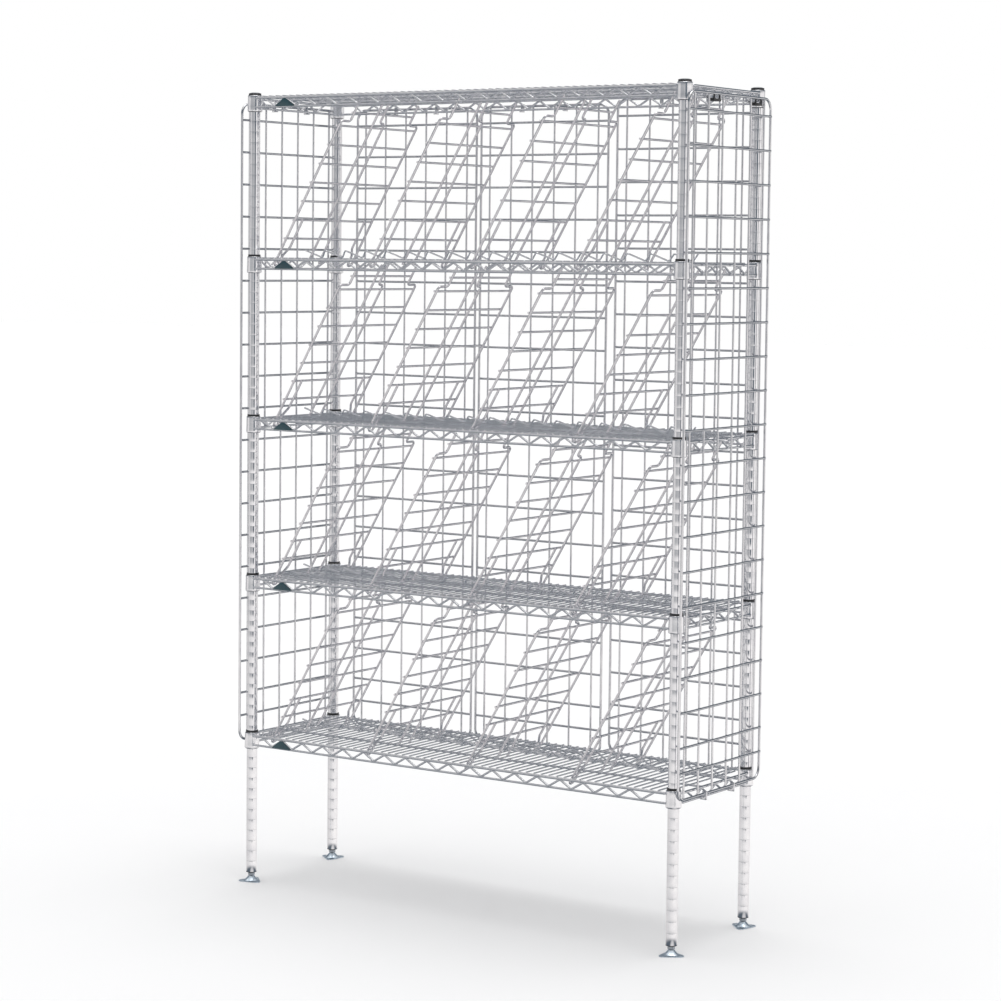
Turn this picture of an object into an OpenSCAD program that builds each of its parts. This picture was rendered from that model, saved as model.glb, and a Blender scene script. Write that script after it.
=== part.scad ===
// Free-standing wire wine rack: four grooved posts, five truss shelves held by split sleeves,
// sixteen slanted bottle dividers, wire side and back panels, and four screw levelling feet.
// Origin: on the floor, midway between the four posts. X runs left to right, the front faces -Y.

/* [Frame] */
// Distance between the post centres, left to right
post_span_x = 1181; // [1150:1:1220]
// Distance between the post centres, front to back
post_span_y = 317.5; // [310:0.5:330]
// Post diameter
post_d = 25.4; // [25:0.1:25.8]
// Wall thickness of the post tube
post_wall = 1.5; // [1.2:0.1:2]
// Spacing of the grooves along a post
groove_pitch = 25.4; // [25.4:25.4:25.4]

/* [Shelves] */
// Height of the lowest shelf's sleeve top above the floor
lowest_level = 368.6; // [360:0.2:380]
// Rise from one shelf to the next
tier_pitch = 381; // [381:25.4:431.8]
// Spacing of the cross wires in a shelf's mat
mat_pitch = 20.3; // [20:0.1:20.5]
// Diameter of a mat wire
mat_d = 3.4; // [3:0.1:3.6]
// Diameter of a shelf's upper edge wire
top_rail_d = 6; // [5.6:0.1:6.2]
// Diameter of a shelf's lower edge wire
low_rail_d = 5; // [4.6:0.1:5.2]

/* [Dividers] */
// Lean of a divider from the vertical, in degrees
divider_lean = 30.5; // [29:0.5:31]
// Spacing of a divider's rungs, measured along its slope
rung_pitch = 50.8; // [50:0.1:51]
// Diameter of a divider's long wires
divider_wire_d = 5.6; // [5:0.1:6]
// Diameter of a divider's rungs
rung_d = 5; // [4.6:0.1:5.2]

/* [Panels] */
// Width of a panel between the centres of its frame wires
panel_w = 358; // [350:1:360]
// Height of a panel between the centres of its frame wires
panel_h = 1524; // [1524:1:1526]
// Diameter of a panel's frame wire
panel_frame_d = 6; // [5.6:0.1:6.2]
// Spacing of a panel's horizontal wires
panel_row_pitch = 76.2; // [76:0.1:76.4]

/* [Feet] */
// Height of a foot below its post
foot_h = 22; // [21.5:0.5:24]
// Reach of a foot plate's corner from the post's centre line
foot_reach = 30.5; // [29:0.5:34]

/* [Hidden] */
$fn = 72;

shelf_count = 5;
tier_count = shelf_count - 1;
bays = 4;

SIDES = ["left", "right"];
CORNERS = ["front_left", "front_right", "rear_left", "rear_right"];
// Which way each corner lies from the middle, in the order of CORNERS
CORNER_SIGNS = [[-1, -1], [1, -1], [-1, 1], [1, 1]];

SHELF_NODES = [for (i = [1 : shelf_count]) str("shelf_", i)];
SLEEVE_NODES = [for (i = [1 : shelf_count]) str("sleeves_shelf_", i)];
DIVIDER_NODES = [for (t = [1 : tier_count], b = [1 : bays]) str("divider_", t, "_", b)];
POST_NODES = [for (c = CORNERS) str("post_", c)];
LEVELLER_NODES = [for (c = CORNERS) str("leveller_", c)];
FOOT_NODES = [for (c = CORNERS) str("foot_plate_", c)];
PANEL_NODES = ["side_panel_left", "side_panel_right",
               "back_panel_left", "back_panel_middle", "back_panel_right"];

// Half spans to the post centres
half_x = post_span_x / 2;
half_y = post_span_y / 2;
post_r = post_d / 2;
post_bore_r = post_r - post_wall;

// Level of a shelf's sleeve top; shelf 1 is the highest
function level(i) = lowest_level + (shelf_count - i) * tier_pitch;

// Post, cap and insert
insert_flange = 1.5;
post_bottom = foot_h + insert_flange;
post_top = level(1) - 0.4;
cap_rise = 2.8;
cap_plug = 12;
insert_len = 38;
fit_gap = 0.05;
groove_depth = 0.7;
groove_w = 1.6;
// Depth of the sleeve's rib, which is also where a groove must lie, below the sleeve's top
rib_drop = 14;
groove_phase = (lowest_level - rib_drop) % groove_pitch;

// Collar and sleeve at each corner of a shelf, measured down from the sleeve's top
collar_top = 5;
collar_bottom = 43;
sleeve_bottom = 43.8;
sleeve_r_low = 15.9;
sleeve_r_high = 14.7;
collar_r_low = 17.8;
collar_r_high = 17.1;
sleeve_split = 0.6;

// Shelf wires, measured from the sleeve's top
rail_out = 12.5;
edge_x = half_x + rail_out;
edge_y = half_y + rail_out;
rail_start = 13;
top_rail_z = -12;
low_rail_z = -33.5;
weld = 0.9;
mat_z = top_rail_z + top_rail_d / 2 + mat_d / 2 - weld;
support_d = 5;
support_z = mat_z - mat_d / 2 - support_d / 2 + weld;
support_y = 57;
snake_period = 3 * mat_pitch;
snake_w = 4.8;
snake_t = 4.4;
snake_low = low_rail_z + 1.4;
snake_high = top_rail_z - 1.6;
tag_t = 2.4;
tag_back = 3.2;
tag_half = 27;
tag_top_half = 3;
tag_low = -33;
tag_high = -14.5;
tag_period = -8;
mat_half_count = floor((half_x - collar_r_low - 4) / mat_pitch + 0.5);
short_mat_y = 132;

// Wave wire that stands on the mat along the middle line of every shelf that holds bottles
wave_d = 4;
wave_high = 12;
wave_low = mat_z + mat_d / 2 + wave_d / 2 - weld;
wave_y_high = -18;
wave_y_low = 11;

// Divider, in its own sloping plane: first number along Y, second up the slope from the mat
divider_y = 150;
divider_y_top = 115;
inner_wire_y = 121;
loop_w = 16;
first_rung = 45 / cos(divider_lean);
rung_count = 7;
top_rung_rise = 36.5;
top_rung = first_rung + (rung_count - 1) * rung_pitch + top_rung_rise;
jog = top_rung - top_rung_rise + 15;
wire_end = 368 / cos(divider_lean);
foot_end = -20;
middle_front_y = -25;
middle_rear_y = 18;
middle_rear_top_y = -1;
middle_end = -14;
rung_overhang = 3.5;
divider_step = 14 * mat_pitch;
divider_first_x = -26 * mat_pitch;

// Panel wires: uprights lie on the inner side of the frame, rows on the outer side
upright_d = 4.8;
row_d = 5.2;
wire_shift = 1.6;
panel_corner_r = 25;
upright_offsets = [-152.5, -91.5, -30.5, 30.5, 91.5, 152.5];
panel_out = 22.5;
panel_bottom = lowest_level - 24.6;
first_row_drop = 38.1;
row_count = 19;
last_row_rise = 59;
side_panel_x = half_x + panel_out;
back_panel_y = half_y + panel_out;
// Middle of each back panel, left to right, and how far each hangs above the side panels
back_panel_x = [-364, 8, 390.75];
back_panel_lift = [0, 0, 10];

// Clips for the right side panel at the top shelf, and hooks for every other panel edge; all sit
// on a shelf's lower edge wire and hold a panel's frame wire
clip_places = [-61, 122];
hook_spread = 61;
clip_len = 32;
clip_back = 3.5;
clip_low = 7.5;
clip_high = 1.8;
peg_at = 12;
peg_d = 4;
hook_len = 4;
hook_low = 5.5;
hook_foot_t = 2.5;
// Space between a clip or hook and the shelf's upper edge wire
clip_gap = 0.4;

// Levelling foot
foot_plate_t = 2.2;
foot_corner_r = 9;
hub_r = 19;
hub_top_r = 7;
hub_h = 13;
hub_wall = 2.2;
// Way that one corner of each foot plate points, in the order of CORNERS; the plates turn freely
foot_headings = [225, 4, 54, 45];
ball_r = 4.4;
ball_z = 7.2;
socket_gap = 0.3;
stud_r = 3;
hex_af = 14.3;
hex_bottom = 14.2;
hex_top = 20.8;
thread_r = 4.7;
thread_top = 58;
thread_bore_r = 4.95;

function unit(v) = v / norm(v);
function left_of(v) = [-v[1], v[0]];
function heading(v) = atan2(v[1], v[0]);
// Signed turn at an inner point of a path, between -180 and 180
function turn_at(path, i) =
    let (t = heading(path[i + 1] - path[i]) - heading(path[i] - path[i - 1]))
    t > 180 ? t - 360 : t < -180 ? t + 360 : t;
// Length that a bend takes from each straight beside it
function bend_trim(path, i, bend_r) =
    i == 0 || i == len(path) - 1 ? 0 : bend_r * tan(abs(turn_at(path, i)) / 2);
// Path moved sideways by d, with mitred corners
function side_path(path, d) = [
    for (i = [0 : len(path) - 1])
        let (before = unit(path[max(i, 1)] - path[max(i, 1) - 1]),
             after = unit(path[min(i, len(path) - 2) + 1] - path[min(i, len(path) - 2)]),
             n = left_of(before) + left_of(after))
        path[i] + n * (2 * d / (n * n))
];
function reversed(list) = [for (i = [len(list) - 1 : -1 : 0]) list[i]];
// Side of the square bar that holds as much steel as a round wire
function bar(d) = d * sqrt(PI) / 2;

module wire_x(x0, x1, y, z, d) {
    translate([x0, y, z]) rotate([0, 90, 0]) cylinder(h = x1 - x0, d = d);
}

// Square bars, which stand for the many thin wires of a mat or a panel
module bar_x(x0, x1, y, z, d) {
    translate([x0, y - bar(d) / 2, z - bar(d) / 2]) cube([x1 - x0, bar(d), bar(d)]);
}

module bar_y(y0, y1, x, z, d) {
    translate([x - bar(d) / 2, y0, z - bar(d) / 2]) cube([bar(d), y1 - y0, bar(d)]);
}

module bar_z(z0, z1, x, y, d) {
    translate([x - bar(d) / 2, y - bar(d) / 2, z0]) cube([bar(d), bar(d), z1 - z0]);
}

// Straight round wire between two points of the XY plane
module straight(a, b, d) {
    translate([a[0], a[1], 0]) rotate([0, 0, heading(b - a)]) rotate([0, 90, 0])
        cylinder(h = norm(b - a), d = d);
}

// Round wire along a path in the XY plane, bent to radius bend_r at each inner point
module bent_wire(path, bend_r, d) {
    for (i = [0 : len(path) - 2]) {
        along = unit(path[i + 1] - path[i]);
        straight(path[i] + along * bend_trim(path, i, bend_r),
                 path[i + 1] - along * bend_trim(path, i + 1, bend_r), d);
    }
    for (i = [1 : len(path) - 2]) {
        turn = turn_at(path, i);
        along = unit(path[i] - path[i - 1]);
        side = turn > 0 ? 1 : -1;
        centre = path[i] - along * bend_trim(path, i, bend_r) + side * bend_r * left_of(along);
        start = turn > 0 ? heading(along) - 90 : heading(along) + 90 + turn;
        translate([centre[0], centre[1], 0]) rotate([0, 0, start])
            rotate_extrude(angle = abs(turn)) translate([bend_r, 0]) circle(d = d);
    }
}

// Bar of width w and thickness t along a path in the XY plane, with mitred corners
module strip(path, w, t) {
    translate([0, 0, -t / 2]) linear_extrude(t)
        polygon(concat(side_path(path, w / 2), reversed(side_path(path, -w / 2))));
}

module post(signs) {
    grooves = [for (z = [groove_phase : groove_pitch : post_top - groove_w])
               if (z > post_bottom + 2 * groove_w) z];
    outline = concat([[post_bore_r, post_bottom], [post_r, post_bottom]],
                     [for (z = grooves, p = [[0, -1], [-1, -0.5], [-1, 0.5], [0, 1]])
                      [post_r + p[0] * groove_depth, z + p[1] * groove_w / 2]],
                     [[post_r, post_top], [post_bore_r, post_top]]);
    color("gainsboro") translate([signs[0] * half_x, signs[1] * half_y, 0])
        rotate_extrude() polygon(outline);
}

module post_cap() {
    crown_r = (post_r * post_r + cap_rise * cap_rise) / (2 * cap_rise);
    intersection() {
        translate([0, 0, post_top]) cylinder(h = cap_rise, r = post_r);
        translate([0, 0, post_top + cap_rise - crown_r]) sphere(r = crown_r, $fn = 180);
    }
    translate([0, 0, post_top - cap_plug]) cylinder(h = cap_plug, r = post_bore_r - fit_gap);
}

module post_caps() {
    color("silver") for (s = CORNER_SIGNS) translate([s[0] * half_x, s[1] * half_y, 0]) post_cap();
}

module post_insert() {
    difference() {
        union() {
            translate([0, 0, foot_h]) cylinder(h = insert_flange, r = post_r);
            translate([0, 0, foot_h]) cylinder(h = insert_len, r = post_bore_r - fit_gap);
        }
        translate([0, 0, foot_h - 1]) cylinder(h = insert_len + 2, r = thread_bore_r);
    }
}

module post_inserts() {
    color("dimgray") for (s = CORNER_SIGNS) translate([s[0] * half_x, s[1] * half_y, 0]) post_insert();
}

module leveller(signs) {
    color("slategray") translate([signs[0] * half_x, signs[1] * half_y, 0]) {
        translate([0, 0, ball_z]) sphere(r = ball_r);
        translate([0, 0, ball_z]) cylinder(h = hex_bottom - ball_z + 0.5, r = stud_r);
        translate([0, 0, hex_bottom]) cylinder(h = hex_top - hex_bottom, d = hex_af / cos(30), $fn = 6);
        translate([0, 0, hex_top - 0.5]) cylinder(h = thread_top - hex_top + 0.5, r = thread_r);
    }
}

// Rounded triangle with one corner pointing along +X
module foot_outline() {
    polygon([for (corner = [0 : 120 : 240], a = [-60 : 10 : 60])
             (foot_reach - foot_corner_r) * [cos(corner), sin(corner)]
             + foot_corner_r * [cos(corner + a), sin(corner + a)]]);
}

module foot_plate(i) {
    signs = CORNER_SIGNS[i];
    flare = [for (t = [0 : 0.1 : 1])
             [hub_r - (hub_r - hub_top_r) * t, foot_plate_t + (hub_h - foot_plate_t) * pow(t, 1.4)]];
    hollow = [for (t = [0.2 : 0.1 : 0.91])
              [hub_r - (hub_r - hub_top_r) * t,
               foot_plate_t + (hub_h - foot_plate_t) * pow(t, 1.4) - hub_wall]];
    color("lightsteelblue") translate([signs[0] * half_x, signs[1] * half_y, 0]) difference() {
        union() {
            rotate([0, 0, foot_headings[i]]) linear_extrude(foot_plate_t) foot_outline();
            rotate_extrude() polygon(concat([[0, foot_plate_t / 2], [hub_r, foot_plate_t / 2]], flare,
                                            [[0, hub_h]]));
        }
        translate([0, 0, ball_z]) sphere(r = ball_r + socket_gap);
        translate([0, 0, ball_z]) cylinder(h = hub_h, r = stud_r + socket_gap);
        rotate_extrude() polygon(concat([[hollow[0][0], -1]], hollow, [[hollow[len(hollow) - 1][0], -1]]));
    }
}

// Tapered corner collar of a shelf, with rounded shoulders
module collar() {
    taper = (sleeve_r_low - sleeve_r_high) / sleeve_bottom;
    bore_low = sleeve_r_low - taper * (sleeve_bottom - collar_bottom) + fit_gap;
    bore_high = sleeve_r_high + taper * collar_top + fit_gap;
    rotate_extrude() polygon([
        [bore_low, -collar_bottom], [collar_r_low - 0.6, -collar_bottom],
        [collar_r_low, -collar_bottom + 1.2], [collar_r_low, -collar_bottom + 6],
        [collar_r_high, -collar_top - 6], [collar_r_high - 0.2, -collar_top - 1.2],
        [bore_high + 0.5, -collar_top], [bore_high, -collar_top]]);
}

// Zigzag points from -half to half, with its peaks at whole numbers of periods
function zigzag(half, low, high) =
    let (steps = floor(2 * half / snake_period))
    [for (k = [-steps : steps]) [k * snake_period / 2, k % 2 == 0 ? high : low]];

// One long or short edge: upper wire, lower wire and the zigzag between them
module edge_truss(half, out) {
    wire_x(-half + rail_start, half - rail_start, out, top_rail_z, top_rail_d);
    wire_x(-half + rail_start, half - rail_start, out, low_rail_z, low_rail_d);
    translate([0, out, 0]) rotate([90, 0, 0])
        strip(zigzag(half - rail_start, snake_low, snake_high), snake_w, snake_t);
}

module shelf_mat() {
    for (i = [-mat_half_count : mat_half_count - 1])
        bar_y(-edge_y, edge_y, (i + 0.5) * mat_pitch, mat_z, mat_d);
    for (s = [-1, 1]) {
        bar_y(-short_mat_y, short_mat_y, s * (mat_half_count + 0.5) * mat_pitch, mat_z, mat_d);
        wire_x(-edge_x, edge_x, s * support_y, support_z, support_d);
    }
}

// Zigzag that leans back across the middle of the mat, peaks to the front
module middle_wave() {
    rise = wave_high - wave_low;
    run = wave_y_low - wave_y_high;
    slope = norm([rise, run]);
    half = mat_half_count * mat_pitch;
    translate([0, wave_y_low, wave_low]) rotate([180 - atan2(rise, run), 0, 0])
        strip(zigzag(half, 0, slope), wave_d, wave_d);
}

module shelf(i) {
    color("silver") translate([0, 0, level(i)]) {
        for (s = CORNER_SIGNS) translate([s[0] * half_x, s[1] * half_y, 0]) collar();
        for (s = [-1, 1]) {
            edge_truss(half_x, s * edge_y);
            rotate([0, 0, 90]) edge_truss(half_y, s * edge_x);
        }
        shelf_mat();
        if (i > 1) middle_wave();
    }
}

// Tapered sleeve split into two halves, with a rib that sits in a post groove
module split_sleeve() {
    bore_r = post_r + fit_gap;
    rib_r = post_r - groove_depth + 0.15;
    difference() {
        rotate_extrude() polygon([
            [bore_r, -sleeve_bottom], [sleeve_r_low, -sleeve_bottom], [sleeve_r_high, 0],
            [bore_r, 0], [bore_r, -rib_drop + 0.7], [rib_r, -rib_drop + 0.3],
            [rib_r, -rib_drop - 0.3], [bore_r, -rib_drop - 0.7]]);
        cube([sleeve_split, 4 * sleeve_r_low, 3 * sleeve_bottom], center = true);
    }
}

module sleeves_shelf(i) {
    color("black") for (s = CORNER_SIGNS)
        translate([s[0] * half_x, s[1] * half_y, level(i)]) split_sleeve();
}

// One end of a divider's outer wire: from its top, down through the mat, round a loop
// and back up beside itself; drawn for the end at +Y
module divider_end() {
    strip([[divider_y_top, wire_end], [divider_y_top, jog], [divider_y, jog], [divider_y, foot_end], [divider_y - loop_w, foot_end], [divider_y - loop_w, 8],
           [inner_wire_y, 30], [inner_wire_y, first_rung + rung_pitch + 5]],
          bar(divider_wire_d), bar(divider_wire_d));
}

// The two wires near a divider's middle
module divider_middle() {
    paths = [[[middle_front_y, middle_end], [middle_front_y, wire_end]],
             [[middle_rear_y, middle_end], [middle_rear_y, jog],
              [middle_rear_top_y, jog], [middle_rear_top_y, wire_end]]];
    for (path = paths) strip(path, bar(divider_wire_d), bar(divider_wire_d));
}

module divider(tier, bay) {
    rung_shift = bar(divider_wire_d) / 2 + rung_d / 2 - weld;
    x = divider_first_x + (bay - 1) * divider_step;
    color("silver") translate([x, 0, level(tier + 1) + mat_z]) rotate([0, divider_lean, 0])
        rotate([90, 0, 90]) {
            divider_end();
            mirror([1, 0, 0]) divider_end();
            divider_middle();
            translate([0, 0, -rung_shift]) {
                for (k = [0 : rung_count - 1])
                    wire_x(-divider_y - rung_overhang, divider_y + rung_overhang,
                           first_rung + k * rung_pitch, 0, rung_d);
                wire_x(-divider_y_top - rung_overhang, divider_y_top + rung_overhang, top_rung, 0,
                       rung_d);
            }
        }
}

// Wire panel standing in the XZ plane, centred on X, its outer side facing +Y
module panel() {
    w = panel_w / 2;
    translate([0, 0, panel_bottom]) {
        rotate([90, 0, 0])
            bent_wire([[0, 0], [w, 0], [w, panel_h], [-w, panel_h], [-w, 0], [0, 0]],
                      panel_corner_r, panel_frame_d);
        for (x = upright_offsets) bar_z(0, panel_h, x, -wire_shift, upright_d);
        for (k = [0 : row_count - 1])
            bar_x(-w, w, wire_shift, panel_h - first_row_drop - k * panel_row_pitch, row_d);
        bar_x(-w, w, wire_shift, last_row_rise, row_d);
    }
}

module side_panel(side) {
    color("silver") translate([side * side_panel_x, 0, 0]) rotate([0, 0, -90 * side]) panel();
}

module back_panel(i) {
    color("silver") translate([back_panel_x[i], back_panel_y, back_panel_lift[i]]) panel();
}

// Height of a panel's nearest frame wire above the lower edge wire of shelf i
function frame_rise(i) =
    panel_bottom - lowest_level - low_rail_z + (i == 1 ? panel_h - tier_count * tier_pitch : 0);

// Upright block between the shelf's rails and a panel, with the shelf's lower edge wire at the
// origin along X and the panel's frame wire further out along +Y
module hook_upright(top) {
    near = top_rail_d / 2 + clip_gap;
    far = panel_out - rail_out + panel_frame_d / 2 + 1;
    translate([-hook_len / 2, near, -hook_low]) cube([hook_len, far - near, hook_low + top]);
}

module clip_holes(rise) {
    wire_x(-clip_len, clip_len, 0, 0, low_rail_d + 2 * fit_gap);
    wire_x(-clip_len, clip_len, panel_out - rail_out, rise, panel_frame_d + 2 * fit_gap);
}

// Moulded clip: a bar under the rail, with two hollowed pegs that the panel's frame wire rests on
module clip(rise) {
    reach = panel_out - rail_out;
    difference() {
        union() {
            translate([-clip_len / 2, -clip_back, -clip_low])
                cube([clip_len, clip_back + reach + peg_d / 2, clip_low - clip_high]);
            for (s = [-1, 1])
                translate([s * peg_at, reach, -clip_low]) cylinder(h = clip_low + rise - 1.5, d = peg_d);
        }
        clip_holes(rise);
    }
}

// Flat steel hook: an upright round the panel's frame wire, with a foot under the rail
module hook(rise) {
    difference() {
        union() {
            hook_upright(rise + panel_frame_d / 2 + 2);
            translate([-hook_len / 2, -low_rail_d / 2, -hook_low])
                cube([hook_len, top_rail_d + low_rail_d / 2, hook_foot_t]);
        }
        clip_holes(rise);
    }
}

// Places along shelf i's lower edge wire beside one side panel
module at_side_panel(i, side, places) {
    for (y = places)
        translate([side * edge_x, y, level(i) + low_rail_z]) rotate([0, 0, -90 * side]) children();
}

// Two places on shelf i's lower edge wire beside back panel k
module at_back_panel(i, k) {
    for (s = [-1, 1])
        translate([back_panel_x[k] + s * hook_spread, edge_y, level(i) + low_rail_z]) children();
}

module panel_clips() {
    color("black") at_side_panel(1, 1, clip_places) clip(frame_rise(1));
}

module panel_hooks() {
    pair = [-hook_spread, hook_spread];
    color("silver") {
        at_side_panel(1, -1, pair) hook(frame_rise(1));
        for (side = [-1, 1]) at_side_panel(shelf_count, side, pair) hook(frame_rise(shelf_count));
        for (i = [1, shelf_count], k = [0 : len(back_panel_x) - 1])
            at_back_panel(i, k) hook(frame_rise(i) + back_panel_lift[k]);
    }
}

// Blank triangular plate in front of a shelf's front truss, snapped into one of its triangles
module shelf_tags() {
    gap = 0.4;
    low = low_rail_z + low_rail_d / 2 + gap;
    rise = snake_high - snake_low;
    limb = norm([rise, snake_period / 2]);
    // Half width of the free triangle under a peak, at a drop below the peak's centre line
    function half_at(drop) = (drop - (snake_w / 2 + gap) * limb / (snake_period / 2))
                             * snake_period / 2 / rise;
    blunt = 5;
    color("darkslategray") for (i = [1 : shelf_count])
        translate([tag_period * snake_period, -edge_y, level(i)]) rotate([90, 0, 0]) {
            translate([0, 0, -snake_t / 2]) linear_extrude(snake_t / 2 + tag_back + tag_t / 2)
                polygon([[-half_at(snake_high - low), low], [half_at(snake_high - low), low],
                         [half_at(blunt), snake_high - blunt], [-half_at(blunt), snake_high - blunt]]);
            translate([0, 0, tag_back]) linear_extrude(tag_t)
                polygon([[-tag_half, tag_low], [tag_half, tag_low], [tag_half, tag_low + 1.5],
                         [tag_top_half, tag_high], [-tag_top_half, tag_high], [-tag_half, tag_low + 1.5]]);
        }
}

for (i = [0 : 3]) {
    post(CORNER_SIGNS[i]);
    leveller(CORNER_SIGNS[i]);
    foot_plate(i);
}
post_caps();
post_inserts();
for (i = [1 : shelf_count]) {
    shelf(i);
    sleeves_shelf(i);
}
for (t = [1 : tier_count], b = [1 : bays])
    divider(t, b);
for (i = [0 : 1])
    side_panel(i == 0 ? -1 : 1);
for (i = [0 : 2])
    back_panel(i);
panel_clips();
panel_hooks();
shelf_tags();
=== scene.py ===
"""Looks of the wire wine rack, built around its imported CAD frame.

Lengths in the shape functions are in millimetres; pieces are scaled to metres when they are made.
"""

import math

import bmesh
import bpy
import numpy as np
from mathutils import Matrix, Vector

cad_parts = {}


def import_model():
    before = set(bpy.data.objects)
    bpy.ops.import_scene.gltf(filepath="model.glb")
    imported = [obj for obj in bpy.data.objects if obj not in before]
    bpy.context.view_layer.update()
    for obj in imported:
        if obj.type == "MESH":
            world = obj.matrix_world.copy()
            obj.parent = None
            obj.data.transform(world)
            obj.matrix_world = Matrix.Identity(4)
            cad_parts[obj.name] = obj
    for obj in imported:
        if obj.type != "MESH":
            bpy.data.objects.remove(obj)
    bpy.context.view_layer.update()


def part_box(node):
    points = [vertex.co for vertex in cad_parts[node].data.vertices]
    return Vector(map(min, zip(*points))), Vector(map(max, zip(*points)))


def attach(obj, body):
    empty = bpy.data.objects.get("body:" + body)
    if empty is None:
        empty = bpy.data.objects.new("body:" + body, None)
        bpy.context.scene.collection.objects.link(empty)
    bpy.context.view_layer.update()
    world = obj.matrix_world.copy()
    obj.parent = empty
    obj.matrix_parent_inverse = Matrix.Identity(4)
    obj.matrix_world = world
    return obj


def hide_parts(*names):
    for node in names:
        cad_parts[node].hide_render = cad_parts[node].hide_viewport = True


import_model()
MM = 0.001
TIERS = range(1, 5)
BAYS = range(1, 5)
SHELVES = range(1, 6)
CORNERS = {
    "front_left": (-1, -1),
    "front_right": (1, -1),
    "rear_left": (-1, 1),
    "rear_right": (1, 1),
}


# ---------------------------------------------------------------- shape helpers


def unit(v):
    return v / np.linalg.norm(v)


def bend(points, radius, step=15.0, closed=False):
    """The path with every corner rounded to a radius, with a point every step degrees."""
    p = [np.asarray(q, float) for q in points]
    n = len(p)
    made = [] if closed else [p[0]]
    for i in range(0 if closed else 1, n if closed else n - 1):
        a, b, c = p[i - 1], p[i], p[(i + 1) % n]
        d1, d2 = unit(b - a), unit(c - b)
        turn = math.acos(max(-1.0, min(1.0, float(d1 @ d2))))
        if turn < 1e-4:
            made.append(b)
            continue
        room = 0.49 * min(np.linalg.norm(b - a), np.linalg.norm(c - b))
        r = min(radius, room / math.tan(turn / 2))
        start = b - d1 * r * math.tan(turn / 2)
        inward = unit(d2 - d1 * float(d1 @ d2))
        centre = start + inward * r
        count = max(2, math.ceil(math.degrees(turn) / step))
        for k in range(count + 1):
            t = turn * k / count
            made.append(centre + r * (d1 * math.sin(t) - inward * math.cos(t)))
    if not closed:
        made.append(p[-1])
    return np.array(made)


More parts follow.
